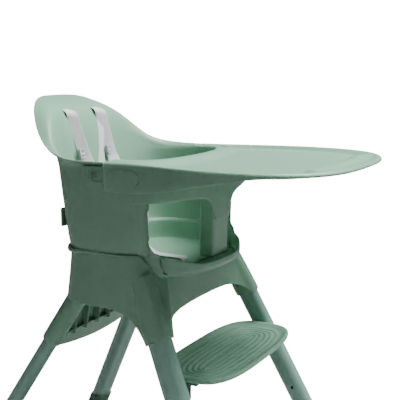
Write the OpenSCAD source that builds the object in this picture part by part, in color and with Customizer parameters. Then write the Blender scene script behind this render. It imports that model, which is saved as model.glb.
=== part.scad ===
// Moulded high chair: bucket seat on a four-legged chassis, slide-on tray,
// footplate hung between the front legs, five-point harness.
// Millimetres, +Z up, sitter faces -Y, X = 0 is the plane of symmetry.

/* [Seat] */
// Outside width of the seat at the armrests
seat_w = 410; // [360:1:450]
// Reach of the seat's front lip ahead of the seat centre
seat_front = 187; // [165:1:210]
// Reach of the back wall behind the seat centre, at the collar
seat_back = 125; // [110:1:145]
// Wall of the seat shell
seat_wall = 4; // [3:0.5:6]
// Height of the armrest tops
arm_z = 726; // [680:1:760]
// Height of the rim at the back
rim_z = 842; // [800:1:880]
// How far the rim flares out behind the back wall
rim_flare = 66; // [40:1:75]
// Height of the seat pan's upper face
pan_z = 500; // [490:1:510]
// Where the leg openings start, ahead of the seat centre
opening_y = 104; // [95:1:115]

/* [Chassis] */
// Height of the collar that the seat drops into
collar_z = 548; // [535:1:552]
// Height of the side panels' lower edge
skirt_z = 440; // [425:1:455]
// Wall of the chassis
base_wall = 4; // [3:0.5:6]
// Gap between the seat and the chassis
seat_gap = 0.6; // [0.4:0.1:1.5]

/* [Legs] */
// Long side of the oval leg tube
leg_l = 50; // [40:1:56]
// Short side of the oval leg tube
leg_w = 32; // [26:1:36]
// Wall of the leg tube
leg_wall = 2; // [1.5:0.25:3]
// Half track of the front feet on the floor
front_foot_x = 273; // [240:1:290]
// Reach of the front feet ahead of the seat centre
front_foot_y = 324; // [290:1:340]
// Half track of the rear feet on the floor
rear_foot_x = 259; // [230:1:280]
// Reach of the rear feet behind the seat centre
rear_foot_y = 332; // [300:1:350]
// Gap all round a leg in its socket
leg_gap = 0.3; // [0.2:0.1:0.6]

/* [Tray] */
// Full width of the tray
tray_w = 500; // [470:1:530]
// Reach of the tray's front edge ahead of the seat centre
tray_front = 484; // [440:1:500]
// Height of the tray's crown
tray_z = 732; // [728:1:760]
// Thickness of the tray
tray_wall = 3; // [2.5:0.5:4]
// Width of the belly cut-out
belly_w = 324; // [300:1:340]
// Travel of the tray on the armrests
tray_travel = 90; // [60:1:100]

/* [Footplate] */
// Depth of the footplate
plate_d = 174; // [140:1:190]
// Height of the footplate's rim
plate_z = 322; // [300:1:335]
// Side gap between the footplate and a leg
plate_gap = 2; // [1:0.5:4]

/* [Harness] */
// Width of the webbing
web_w = 20; // [16:1:25]
// Thickness of the webbing
web_t = 1.6; // [1.2:0.1:2]
// Half distance between the shoulder slots
shoulder_x = 54; // [45:1:62]

/* [Hidden] */

green = [0.36, 0.53, 0.43];
leg_green = [0.37, 0.53, 0.48];
web_grey = [0.78, 0.78, 0.80];
steel = [0.72, 0.73, 0.74];
ref_z = 400;                        // height at which the legs' upper places are given
front_ref = [202, -136];            // front leg centre at ref_z
rear_ref = [156, 110];              // rear leg centre at ref_z
front_turn = 78;                    // turn of the front tube's long side from +X
rear_turn = 152;                    // turn of the rear tube's long side from +X
socket_wall = 5;
front_socket_z = 388;               // height of the front sockets' mouths
rear_socket_z = 337;                // height of the rear sockets' mouths
socket_depth = 78;
foot_h = 34;
foot_wall = 3;
arm_reach = 22;                     // joint between armrest block and tray arm, ahead of centre
block_d = 50;                       // depth of the armrest block
block_t = 6;                        // how far the block stands out of the wall
block_z = [677, 721];
seat_n = 3.2;                       // squareness of the seat's plan behind its centre
front_n = 2.3;                      // and ahead of it
seat_cy = -20;                      // centre of the seat's plan
plug_inset = 9;                     // step in the seat wall where it enters the collar
lip_h = 16;                         // height of the seat's front lip above the pan's underside
rim_n = 2.2;
rail_gap = 5;                       // bow's clearance outside the seat wall
rail_t = 4;
rail_z = [655, 712];
post_w = 74;
post_d = 25;
post_y = -168;
slider = [76, 27, 5];               // latch slider: length, height, thickness
slider_y = -73;                     // centre of the slider at rest
slider_z = 704;
slider_travel = 12;
bow_y = -89;                        // where the bow under the tray begins
bow_reach = 101;
screw_x = 120;                      // seat screws, half spacing across
screw_y = [-60, 60];                // and their places fore and aft
waist_x = 92;
waist_z = 590;
plate_cy = -193;
plate_n = 2.9;
buckle_y = 24;
buckle_z = 585;
seg = 64;
fine = 48;

// The origin is the middle of the floor area: half way between tray front and rear feet.
shift_y = (tray_front - rear_foot_y - foot_reach()) / 2;

function mix(a, b, t) = a + (b - a) * t;
function smooth(t) = let (k = min(1, max(0, t))) k * k * (3 - 2 * k);
function spow(c, n) = sign(c) * pow(abs(c), 2 / n);
// Point of a superellipse: half width a, reach bb behind and bf ahead of cy, squareness n
// behind and nf ahead.
function oval_pt(t, a, bb, bf, cy, n, nf) = let (m = sin(t) > 0 ? n : nf)
    [a * spow(cos(t), m), cy + (sin(t) > 0 ? bb : bf) * spow(sin(t), m)];

// ---- orientation of a leg: local +Z runs up the leg from its foot
function foot_pt(front, s) = front ? [s * front_foot_x, -front_foot_y, 0]
                                   : [s * rear_foot_x, rear_foot_y, 0];
function ref_pt(front, s) = let (r = front ? front_ref : rear_ref) [s * r[0], r[1], ref_z];
function leg_dir(front, s) = let (v = ref_pt(front, s) - foot_pt(front, s)) v / norm(v);
function at_height(front, s, z) =
    let (d = leg_dir(front, s)) foot_pt(front, s) + d * (z / d[2]);
// Reach of the rear foot cap behind its centre line, where it is cut at the floor.
function foot_reach() =
    let (d = leg_dir(false, 1), tilt = acos(d[2]), az = atan2(d[1], d[0]),
         e1 = turned([cos(rear_turn), sin(rear_turn)], tilt, az),
         e2 = turned([-sin(rear_turn), cos(rear_turn)], tilt, az),
         ky = d[1] / d[2],
         a = e1[1] - e1[2] * ky, b = e2[1] - e2[2] * ky,
         r = leg_w / 2 + foot_wall)
    (leg_l - leg_w) / 2 * abs(a) + r * norm([a, b]);
// Vector v of the section plane after the leg's tilt.
function turned(v, tilt, az) =
    let (c = v[0] * cos(az) + v[1] * sin(az), w = -v[0] * sin(az) + v[1] * cos(az))
    [c * cos(tilt) * cos(az) - w * sin(az), c * cos(tilt) * sin(az) + w * cos(az),
     -c * sin(tilt)];

module place() translate([0, shift_y, 0]) children();

module along_leg(front, s) {
    d = leg_dir(front, s);
    tilt = acos(d[2]);
    az = atan2(d[1], d[0]);
    turn = front ? front_turn : rear_turn;
    translate(foot_pt(front, s))
        rotate([0, tilt, az])
            rotate([0, 0, -az + (s > 0 ? turn : 180 - turn)])
                children();
}
// Distance along a leg from its foot point to height z.
function run(front, z) = z / leg_dir(front, 1)[2];

module oval(l, w) {
    square([l - w, w], center = true);
    for (s = [-1, 1]) translate([s * (l - w) / 2, 0]) circle(d = w, $fn = fine);
}
module slab(z0, z1) translate([-600, -600, z0]) cube([1200, 1200, z1 - z0]);

// Closed solid from rings of equal length, each ring counter-clockwise seen from above,
// given from the bottom up.
module loft(rings) {
    n = len(rings[0]);
    m = len(rings);
    pts = [for (r = rings) each r];
    sides = [for (j = [0:m - 2]) for (i = [0:n - 1])
        let (a = j * n + i, b = j * n + (i + 1) % n) [a, a + n, b + n, b]];
    polyhedron(pts, concat(sides, [[for (i = [0:n - 1]) i]],
        [[for (i = [n - 1:-1:0]) (m - 1) * n + i]]));
}
// Closed solid from sections of equal length along a path, each clockwise seen from its start.
module sweep(sections) {
    n = len(sections[0]);
    m = len(sections);
    pts = [for (r = sections) each r];
    sides = [for (j = [0:m - 2]) for (i = [0:n - 1])
        let (a = j * n + i, b = j * n + (i + 1) % n) [a, b, b + n, a + n]];
    polyhedron(pts, concat(sides, [[for (i = [n - 1:-1:0]) i]],
        [[for (i = [0:n - 1]) (m - 1) * n + i]]));
}

// ---- seat: level k gives [side z, back z, half width, back reach, front reach, n]
function levels() = [
    [pan_z - 10, pan_z - 10, seat_w / 2 - 20, seat_back - 26, seat_front - 22, seat_n],
    [pan_z, pan_z, seat_w / 2 - plug_inset - 6, seat_back - plug_inset - 4, seat_front - 6, seat_n],
    [pan_z + 12, pan_z + 12, seat_w / 2 - plug_inset - 4, seat_back - plug_inset - 2,
     seat_front, seat_n],
    [collar_z + 0.6, collar_z + 0.6, seat_w / 2 - plug_inset - 3, seat_back - plug_inset,
     seat_front, seat_n],
    [collar_z + 5, collar_z + 5, seat_w / 2 - 6, seat_back, seat_front, seat_n],
    [mix(collar_z, arm_z, 0.5), mix(collar_z, arm_z, 0.5), seat_w / 2 - 2, seat_back + 16,
     seat_front, seat_n],
    [arm_z - 9, arm_z - 3, seat_w / 2, seat_back + 29, seat_front, seat_n],
    [arm_z - 5, mix(arm_z, rim_z, 0.45), seat_w / 2 + 2, seat_back + 42, seat_front, 3],
    [arm_z - 2, mix(arm_z, rim_z, 0.76), seat_w / 2 + 6, seat_back + 60, seat_front, 2.7],
    [arm_z, mix(arm_z, rim_z, 0.92), seat_w / 2 + 11, seat_back + rim_flare + 26,
     seat_front, 2.4],
    [arm_z + 1, rim_z, seat_w / 2 + 16, seat_back + rim_flare + 60, seat_front, rim_n]
];
// How far round to the back an angle is: 0 ahead of the sides, 1 at the middle of the back.
function backness(t) = sin(t) <= 0 ? 0 : smooth(pow(sin(t), 1.9));
function seat_ring(l, t_off, z_off) = [for (i = [0:seg - 1])
    let (t = i * 360 / seg, p = oval_pt(t, l[2] - t_off, l[3] - t_off - seat_cy,
                                        l[4] - t_off + seat_cy, seat_cy, l[5], front_n))
    [p[0], p[1], mix(l[0], l[1], backness(t)) + z_off]];
function seat_rings() = let (l = levels(), m = len(l)) concat(
    [for (k = [0:m - 1]) seat_ring(l[k], 0, 0)],
    [seat_ring(l[m - 1], 3, seat_wall - 1)],
    [for (k = [m - 2:-1:2]) seat_ring(l[k], k < 8 ? seat_wall : 2, k < 7 ? 0 : seat_wall - 0.5)],
    [seat_ring(l[1], seat_wall + 3, seat_wall)],
    [seat_ring(l[0], 14, seat_wall + 10)]);

// Side view of what is open ahead of the seat's side walls.
slot_z0 = rim_z - 40;               // height of the shoulder slots
crotch_y = -88;
pan_top = pan_z + seat_wall;         // upper face of the pan
module front_cut() {
    r = 48;
    lip = pan_z + lip_h;
    translate([300, 0, 0]) rotate([90, 0, -90]) linear_extrude(600)
        polygon(concat(
            [[opening_y, 900]],
            [for (i = [0:8]) let (t = 180 + i * 11.25)
                [opening_y + r + r * cos(t), lip + 16 + r + r * sin(t)]],
            [[seat_front - 12, lip + 3], [seat_front + 60, lip], [seat_front + 60, 900]]));
}
// Round-ended slot cutter, length l along X and h high, cutting along Y.
module slot_y(l, h, d) hull() for (s = [-1, 1])
    translate([s * (l - h) / 2, 0, 0]) rotate([90, 0, 0]) cylinder(d = h, h = d, center = true, $fn = 24);
module slot_z(l, w, d) hull() for (s = [-1, 1])
    translate([s * (l - w) / 2, 0, 0]) cylinder(d = w, h = d, center = true, $fn = 24);
function back_in_y(z) = seat_back + 29 + (z - arm_z) * 0.28;  // back wall, upper part

module seat_shell() color(green) place() difference() {
    loft(seat_rings());
    front_cut();
    // the flare stops at the armrest blocks, so that the tray arms can pass
    for (s = [-1, 1]) translate([s * (seat_w / 2 + 31), -150, arm_z]) 
        cube([60, 2 * (150 - arm_reach) + 0.01, 120], center = true);
    translate([0, -150, arm_z + 60]) cube([600, 2 * (150 - arm_reach) + 1.2, 120], center = true);
    // and the walls end lower under the tray's basin
    translate([0, -150, tray_z - 26 + 60]) cube([600, 220, 120], center = true);
    // shoulder slots through the back, at the foot of the flare
    for (s = [-1, 1]) translate([s * shoulder_x, back_in_y(slot_z0), slot_z0])
        rotate([14, 0, 0]) slot_y(web_w + 12, 7, 60);
    // waist slots near the foot of the back
    for (s = [-1, 1]) translate([s * waist_x, seat_back, waist_z]) rotate([0, 90, 0])
        slot_y(web_w + 6, 6, 60);
    // crotch strap slot in the pan
    translate([0, crotch_y, pan_z]) slot_z(web_w + 26, 7, 60);
    // drain slots
    for (s = [-1, 1]) for (y = [-90, 85]) translate([s * 100, y, pan_z]) slot_z(26, 5, 60);
    for (p = seat_screw_pts()) translate([p[0], p[1], pan_z])
        cylinder(d = 5, h = 60, center = true, $fn = 24);
}

// ---- armrest blocks with the tongue that the tray arm slides on
function wall_x(z) = seat_w / 2 - 2 + 2 * (z - mix(collar_z, arm_z, 0.5)) / (arm_z - 9 - mix(collar_z, arm_z, 0.5));
module armrest(s) {
    x0 = seat_w / 2 + 0.3;
    h = block_z[1] - block_z[0];
    mirror([s < 0 ? 1 : 0, 0, 0]) difference() {
        union() {
            // block
            translate([x0, -arm_reach + 0.5, block_z[0]]) cube([block_t, block_d - 6, h]);
            translate([x0, -arm_reach + 0.5, block_z[0] + 6]) cube([block_t, block_d, h - 6]);
            translate([x0, block_d - arm_reach - 5.5, block_z[0] + 6]) rotate([0, 90, 0])
                cylinder(r = 6, h = block_t, $fn = fine);
            // tongue
            translate([x0, -opening_y, block_z[0] + 8]) cube([2.6, opening_y - arm_reach + 1, h - 16]);
        }
        // rebate that clears the foot of the flare
        translate([x0 - 1, -150, arm_z - 9.5]) cube([3.4, 300, 20]);
        // half of the latch track, open towards the tray arm
        translate([x0 + block_t - 2.5, 0, slider_z + 1]) rotate([0, 90, 0])
            cylinder(d = slider[1] + 1, h = 5, $fn = fine);
        translate([x0 + block_t - 2.5, -arm_reach - 1, slider_z + 1 - (slider[1] + 1) / 2])
            cube([5, arm_reach + 1, slider[1] + 1]);
    }
}
module armrest_left() color(green) place() armrest(1);
module armrest_right() color(green) place() armrest(-1);
module lock_indicators() color([0.15, 0.3, 0.2]) place()
    for (s = [-1, 1]) mirror([s < 0 ? 1 : 0, 0, 0])
        translate([seat_w / 2 + 0.3 + block_t - 2.5, -5, slider_z - 5]) cube([1, 11, 11]);

// ---- chassis
function base_ring(z, grow) = let (
    drop = (collar_z - z) / 100, g = grow + 12 * drop)
    [for (i = [0:seg - 1]) let (t = i * 360 / seg,
        p = oval_pt(t, seat_w / 2 - 4 + g * 0.7, seat_back - seat_cy - 2 + g, 
                    seat_front + seat_cy - 62 + g, seat_cy, 4, 4))
    [p[0], p[1], z]];
function collar_ring(z, grow) = [for (i = [0:seg - 1]) let (t = i * 360 / seg,
    p = oval_pt(t, seat_w / 2 - plug_inset - 3 + grow, seat_back - plug_inset - seat_cy + grow,
                seat_front + seat_cy + grow, seat_cy, seat_n, front_n)) [p[0], p[1], z]];

module sleeve(front, s, z0, grow, length)
    along_leg(front, s) translate([0, 0, run(front, z0)])
        linear_extrude(length) oval(leg_l + 2 * grow, leg_w + 2 * grow);
module thin_sleeve(front, s, z, grow) sleeve(front, s, z, grow, 1);

module socket_body(front, s) {
    z0 = front ? front_socket_z : rear_socket_z;
    hull() {
        thin_sleeve(front, s, z0, socket_wall);
        thin_sleeve(front, s, front ? skirt_z + 45 : skirt_z - 45, socket_wall);
    }
}
module base_shell() color(green) place() difference() {
    union() {
        // collar and skirt
        difference() {
            loft([for (z = [skirt_z, skirt_z + 30, skirt_z + 60, collar_z - 12]) base_ring(z, 0)]);
            loft([for (z = [skirt_z - 1, skirt_z + 30, 488]) base_ring(z, -base_wall)]);
        }
        // rolled collar lip
        intersection() {
            loft([base_ring(collar_z - 14, 1), base_ring(collar_z - 5, 9), base_ring(collar_z, 9)]);
            translate([-300, -opening_y, 0]) cube([600, 400, 900]);
        }
        for (front = [true, false]) for (s = [-1, 1]) socket_body(front, s);
        // rear apron between the rear sockets
        hull() {
            for (s = [-1, 1]) translate([s * 150, 132, 312]) cube([20, 5, 5], center = true);
            for (s = [-1, 1]) translate([s * 145, 105, 470]) cube([20, 5, 20], center = true);
        }
        // front apron between the front sockets
        hull() {
            for (s = [-1, 1]) translate([s * 180, -128, 434]) cube([20, 5, 8], center = true);
            for (s = [-1, 1]) translate([s * 175, -104, 500]) cube([20, 5, 8], center = true);
        }
        // webs from the skirt down to the front and rear sockets
        for (s = [-1, 1]) hull() {
            translate([s * 208, -118, 400]) cube([4, 40, 20], center = true);
            translate([s * 203, -70, 460]) cube([4, 60, 20], center = true);
        }
        for (s = [-1, 1]) hull() {
            translate([s * 178, 118, 350]) cube([8, 20, 16], center = true);
            translate([s * 190, 70, 462]) cube([8, 60, 20], center = true);
        }
    }
    // well for the seat
    loft([for (z = [pan_z - 12 - seat_gap, pan_z, collar_z + 5]) collar_ring(z, seat_gap)]);
    // room for the seat wall above its step
    for (front = [true, false]) for (s = [-1, 1])
        sleeve(front, s, (front ? front_socket_z : rear_socket_z) - 20, leg_gap, socket_depth + 36);
    // lock button holes on the sockets' inner faces
    for (front = [true, false]) for (s = [-1, 1]) lock_hole(front, s, 8.8);
    // open front above the apron
    translate([-170, -240, 512]) cube([340, 200, 60]);
    // screw holes of the seat
    for (p = seat_screw_pts()) translate([p[0], p[1], 470]) cylinder(d = 5, h = 40, $fn = 24);
}
frame_y = -12;                      // middle and depth of the under-frame
frame_d = 160;
function seat_screw_pts() = [for (s = [-1, 1]) for (y = screw_y) [s * screw_x, y]];
module lock_hole(front, s, d) {
    z0 = (front ? front_socket_z : rear_socket_z) + 24;
    along_leg(front, s) translate([0, 0, run(front, z0)])
        rotate([0, 0, lock_side(s)]) rotate([90, 0, 0])
            cylinder(d = d, h = 60, $fn = 24);
}
// Which flat of the tube faces the middle of the chair.
function lock_side(s) = s > 0 ? 180 : 0;

module under_frame() color(green) place() difference() {
    union() {
        for (x = [-140:40:140]) translate([x, frame_y, 462]) cube([3, frame_d, 22], center = true);
        for (k = [-1.5:1.5]) translate([0, frame_y + k * frame_d / 4, 462]) cube([286, 3, 22], center = true);
        translate([0, frame_y, 474.5]) cube([286, frame_d, 3], center = true);
        for (p = seat_screw_pts()) translate([p[0], p[1], 451]) cylinder(d = 12, h = 24, $fn = fine);
    }
    for (p = seat_screw_pts()) translate([p[0], p[1], 440]) cylinder(d = 5, h = 60, $fn = fine);
}
module seat_screws() color(steel) place() for (p = seat_screw_pts()) translate([p[0], p[1], 448]) {
    cylinder(d = 9, h = 3, $fn = fine);
    cylinder(d = 4.4, h = 40, $fn = fine);
}

// ---- legs
module leg(front, s) color(leg_green) place() difference() {
    along_leg(front, s) linear_extrude(run(front, front ? front_socket_z + 76 : rear_socket_z + 66))
        difference() {
            oval(leg_l, leg_w);
            oval(leg_l - 2 * leg_wall, leg_w - 2 * leg_wall);
        }
    slab(-60, 10);
    lock_hole(front, s, 8.8);
    if (front) for (z = plate_holes()) plate_pin(s, z, 8.4, 0, 40);
    if (!front) along_leg(false, s) translate([0, 0, run(false, 62)])
        rotate([0, 0, lock_side(s)]) rotate([90, 0, 0]) cylinder(d = 4, h = 60, $fn = 24);
}
// Heights of the holes that the footplate brackets can be pinned in.
function plate_holes() = [plate_z - 32, plate_z - 32 - 128];
// Cylinder from the leg's centre line at height z, from a to b towards the middle of the chair.
module plate_pin(s, z, d, a, b) along_leg(true, s) translate([0, 0, run(true, z)])
    rotate([0, 0, s > 0 ? -front_turn : front_turn - 180]) rotate([0, -90 * s, 0])
        translate([0, 0, a]) cylinder(d = d, h = b - a, $fn = fine);
module leg_front_left() leg(true, 1);
module leg_front_right() leg(true, -1);
module leg_rear_left() leg(false, 1);
module leg_rear_right() leg(false, -1);

module foot_caps() color([0.25, 0.38, 0.31]) place()
    for (front = [true, false]) for (s = [-1, 1]) difference() {
        along_leg(front, s) translate([0, 0, -40]) linear_extrude(90)
            oval(leg_l + 2 * foot_wall, leg_w + 2 * foot_wall);
        slab(-200, 0);
        slab(foot_h, 300);
        intersection() {
            along_leg(front, s) translate([0, 0, -40]) linear_extrude(140)
                oval(leg_l + 2 * leg_gap, leg_w + 2 * leg_gap);
            slab(9.7, 300);
        }
    }
module lock_button(front, s) color([0.22, 0.34, 0.27]) place() {
    z0 = (front ? front_socket_z : rear_socket_z) + 24;
    along_leg(front, s) translate([0, 0, run(front, z0)])
        rotate([0, 0, lock_side(s)]) rotate([90, 0, 0]) {
            translate([0, 0, leg_w / 2 - leg_wall - 2.2]) cylinder(d = 8.6, h = leg_wall + 8.4, $fn = fine);
            translate([0, 0, leg_w / 2 - leg_wall - 2.4]) cylinder(d = 13, h = 2, $fn = fine);
        }
}
module lock_button_front_left() lock_button(true, 1);
module lock_button_front_right() lock_button(true, -1);
module lock_button_rear_left() lock_button(false, 1);
module lock_button_rear_right() lock_button(false, -1);

// ---- tray: sections run from the inner edge, over the top, to the outer edge and back below
function tray_out(t) = t < 0.3
    ? let (k = t / 0.3) [mix(seat_w / 2 + 7, tray_w / 2, smooth(k * 0.94)), mix(-arm_reach, -252, k)]
    : let (a = (t - 0.3) / 0.7 * 90) [tray_w / 2 * spow(cos(a), 2.9),
        -252 - (tray_front - 252) * spow(sin(a), 2.9)];
function tray_in(t) = t < 0.08
    ? [belly_w / 2, mix(-arm_reach, -42, t / 0.08)]
    : let (a = (t - 0.08) / 0.92 * 90) [belly_w / 2 * spow(cos(a), 2.4), -42 - 73 * spow(sin(a), 2.4)];
// Height of the tray's upper face at k of the way from the inner to the outer edge.
function tray_top(k, width) = let (d_in = k * width, d_out = (1 - k) * width)
    tray_z - 16 * smooth((d_in - 14) / 42) * smooth((d_out - 10) / 34)
    - 4 * smooth(1 - d_in / 7) - 2 * smooth(1 - d_out / 5);
// Height of the outer skirt's lower edge.
function skirt_low(y) = mix(tray_z - 57, tray_z - 8, smooth((-y - 60) / 340));
tray_ks = [0, 0.04, 0.1, 0.2, 0.3, 0.45, 0.6, 0.75, 0.86, 0.94, 1];
function tray_section(t, s) = let (o = tray_out(t), i = tray_in(t), w = norm(o - i),
    dir = (o - i) / w, top = [for (k = tray_ks) tray_top(k, w)], m = len(tray_ks),
    low = skirt_low(o[1]), xy = function (d) [i[0] + dir[0] * d, i[1] + dir[1] * d])
    [for (p = concat(
        [[0, tray_z - 24]],
        [for (j = [0:m - 1]) [tray_ks[j] * w, top[j]]],
        [[w - 0.5, low + 1], [w - tray_wall, low]],
        [[w - tray_wall, top[m - 1] - 4]],
        [for (j = [m - 2:-1:1]) [max(tray_wall, min(w - tray_wall, tray_ks[j] * w)), top[j] - tray_wall - 1]],
        [[tray_wall, tray_z - 24]]))
        let (q = xy(p[0])) [s * q[0], q[1], p[1]]];
function tray_ts() = [for (i = [0:26]) i / 26];
module tray_body() sweep(concat(
    [for (t = tray_ts()) tray_section(t, 1)],
    [for (i = [25:-1:0]) tray_section(i / 26, -1)]));
// Place of the belly cut-out's edge at x.
function belly_y(x) = -42 - 73 * pow(1 - pow(abs(x) / (belly_w / 2), 2.4), 1 / 2.4);
module tray_rib(x) hull() {
    translate([x, belly_y(x) - 12, tray_z - 14]) cube([3, 4, 14], center = true);
    translate([x, belly_y(x) - 56, tray_z - 19]) cube([3, 4, 3], center = true);
}
module tray_shell() color(green) place() difference() {
    union() {
        tray_body();
        for (x = [-140:40:140]) tray_rib(x);
    }
    for (s = [-1, 1]) mirror([s < 0 ? 1 : 0, 0, 0]) {
        // window for the latch slider
        on_arm() translate([-30, -slider_travel / 2, 0]) slider_shape(slider_travel + 0.8, 0.4, 60);
        // mouth of the latch track towards the block
        translate([seat_w / 2 + 4, -arm_reach - 8, slider_z]) cube([14, 18, slider[1]], center = true);
    }
}
// Place of the latch on the arm's outer face, and the face's turn there.
arm_turn = atan2(arm_face(slider_y - 38) - arm_face(slider_y + 38), 76);
function arm_face(y) = tray_out((-y - arm_reach) / 230 * 0.3)[0];
module on_arm() translate([arm_face(slider_y), slider_y, slider_z]) rotate([0, 0, arm_turn]) children();
// Round-ended bar along Y, longer by extra and larger all round by grow, thick along +X.
module slider_shape(extra, grow, thick) hull() for (e = [-1, 1])
    translate([0, e * (slider[0] + extra - slider[1]) / 2, 0]) rotate([0, 90, 0])
        cylinder(d = slider[1] + 2 * grow, h = thick, $fn = fine);

function bow_pt(a, out) = let (r = seat_w / 2 + rail_gap + out)
    [r * spow(cos(a), 2.3), bow_y - (bow_reach + out) * spow(sin(a), 2.3)];
function rail_low(x) = rail_z[0] + 10 * smooth(1 - abs(x) / 150)
    - 42 * smooth(1 - max(0, abs(x) - post_w / 2 + 4) / 52);
module bow() sweep([for (i = [0:40]) let (a = i * 180 / 40,
    o = a <= 90 ? bow_pt(a, rail_t) : let (q = bow_pt(180 - a, rail_t)) [-q[0], q[1]],
    n = a <= 90 ? bow_pt(a, 0) : let (q = bow_pt(180 - a, 0)) [-q[0], q[1]],
    lo = rail_low(o[0])) [
        [n[0], n[1], lo], [n[0], n[1], rail_z[1]], [o[0], o[1], rail_z[1]], [o[0], o[1], lo]]]);
module tray_rail() color([0.2, 0.33, 0.25]) place() {
    bow();
    difference() {
        hull() {
            translate([0, post_y + post_d / 2, pan_z + 22]) post_plan(0);
            translate([0, post_y + post_d / 2 - 8, rail_z[0] - 10]) post_plan(4);
        }
        hull() {
            translate([0, post_y + post_d / 2 + 2, pan_z + 21]) post_plan(-4);
            translate([0, post_y + post_d / 2 - 6, rail_z[0] - 9]) post_plan(0);
        }
    }
}
module post_plan(grow) linear_extrude(1) union() {
    square([post_w - 12 + 2 * grow, post_d + 2 * grow], center = true);
    square([post_w + 2 * grow, post_d - 12 + 2 * grow], center = true);
}

module tray_screws() color(steel) place()
    for (s = [-1, 1]) for (p = [[150, -159], [70, -180]])
        translate([s * p[0], p[1], rail_z[1] - 16]) {
            cylinder(d = 4, h = 15, $fn = 24);
            cylinder(d = 7, h = 2.4, $fn = 24);
        }

// ---- latch sliders
module latch_slider(s) color([0.33, 0.5, 0.4]) place() mirror([s < 0 ? 1 : 0, 0, 0]) {
    on_arm() translate([-2.2, 0, 0]) slider_shape(0, 0, slider[2]);
    // bolt that reaches into the track of the armrest block
    translate([seat_w / 2 + block_t - 1.6, slider_y + 24, slider_z - 5]) cube([1.6, 37, 12]);
}
module latch_slider_left() latch_slider(1);
module latch_slider_right() latch_slider(-1);

// ---- footplate
function plate_ring(inset, z) = [for (i = [0:seg - 1]) let (t = i * 360 / seg,
    p = oval_pt(t, plate_half_w() - inset, plate_d / 2 - inset, plate_d / 2 - inset,
                plate_cy, plate_n, plate_n)) [p[0], p[1], plate_z + z]];
function plate_half_w() = at_height(true, 1, plate_z)[0] - leg_w / 2 - plate_gap;
hanger_x = 186;                     // hangers under the footplate
hanger = [5, 36, 34];
module footplate() color(green) place() difference() {
    loft([plate_ring(16, -14), plate_ring(4, -12), plate_ring(0, -6), plate_ring(0, -3),
          plate_ring(3, 0), plate_ring(7, -1.5), plate_ring(16, -8), plate_ring(60, -9)]);
    // hollow underside
    loft([plate_ring(24, -16), plate_ring(24, -13), plate_ring(62, -12.5)]);
}
module footplate_bracket(s) color(green) place() {
    top = plate_z - 14.2;
    difference() {
        union() {
            translate([s * (hanger_x - 6), plate_cy, top - 2]) cube([22, 44, 4], center = true);
            translate([s * hanger_x, pin_y(), top - hanger[2] / 2]) cube(hanger, center = true);
            plate_pin(s, plate_holes()[0], 20, leg_w / 2 + 2.6, leg_w / 2 + 18);
        }
        plate_pin(s, plate_holes()[0], 8.16, 0, 60);
    }
}
// Where the pin meets the hanger, fore and aft.
function pin_y() = at_height(true, 1, plate_holes()[0])[1] + 6;
module footplate_bracket_left() footplate_bracket(1);
module footplate_bracket_right() footplate_bracket(-1);
module footplate_pin(s) color(steel) place() {
    plate_pin(s, plate_holes()[0], 8, leg_w / 2 - 8, leg_w / 2 + 24);
    plate_pin(s, plate_holes()[0], 14, leg_w / 2 + 24, leg_w / 2 + 28);
}
module footplate_pin_left() footplate_pin(1);
module footplate_pin_right() footplate_pin(-1);

// ---- harness: ribbons through points, broad side along X or along Z
module rod(p, w, dir) translate(p) rotate(dir == "x" ? [0, 90, 0] : [0, 0, 0])
    cylinder(d = web_t, h = w, center = true, $fn = 16);
module ribbon(pts, w, dir) for (i = [0:len(pts) - 2]) hull() {
    rod(pts[i], w, dir);
    rod(pts[i + 1], w, dir);
}
adjuster_at = [shoulder_x - 2, 134, 716];
function shoulder_pts(s) = [for (p = [
    [shoulder_x, back_in_y(slot_z0) + 12, slot_z0 - 2],
    [shoulder_x, back_in_y(slot_z0) - 12, slot_z0 + 1],
    adjuster_at,
    [30, buckle_y + 42, buckle_z + 74],
    [17, buckle_y + 5, buckle_z + 28]]) [s * p[0], p[1], p[2]]];
module shoulder_strap(s) color(web_grey) place() ribbon(shoulder_pts(s), web_w, "x");
module shoulder_strap_left() shoulder_strap(1);
module shoulder_strap_right() shoulder_strap(-1);
module waist_straps() color(web_grey) place() for (s = [-1, 1])
    ribbon([for (p = [[waist_x, seat_back + 30], [waist_x, seat_back - 8], [waist_x - 20, 40],
                      [40, buckle_y + 24], [31, buckle_y + 6]]) [s * p[0], p[1], waist_z]], web_w, "z");
module crotch_strap() color(web_grey) place()
    ribbon([[0, crotch_y, pan_z - 12], [0, crotch_y, pan_top + 3],
            [0, -22, pan_top + 3], [0, buckle_y - 12, pan_top + 14], [0, buckle_y + 3, buckle_z - 21]], web_w, "x");
module strap_adjusters() color([0.7, 0.7, 0.72]) place() for (s = [-1, 1])
    translate([s * (adjuster_at[0] + 0.15), adjuster_at[1] + 2.3, adjuster_at[2] + 8]) rotate([-15.5, 0, 0])
        difference() {
            cube([web_w + 8, 6, 20], center = true);
            cube([web_w + 2, 4.4, 30], center = true);
            for (z = [-5, 5]) translate([0, -3.5, z]) cube([web_w + 1, 4, 4], center = true);
        }
module strap_keepers() color([0.35, 0.36, 0.38]) place() for (s = [-1, 1]) {
    // waist strap ladder behind the back wall
    translate([s * waist_x, seat_back + 35, waist_z]) difference() {
        cube([24, 6, 40], center = true);
        translate([0, -2.6, 0]) cube([6, 3, web_w + 1], center = true);
    }
    translate([s * shoulder_x, back_in_y(slot_z0) + 16, slot_z0 - 2]) cube([web_w + 12, 4, 12], center = true);
}
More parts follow.
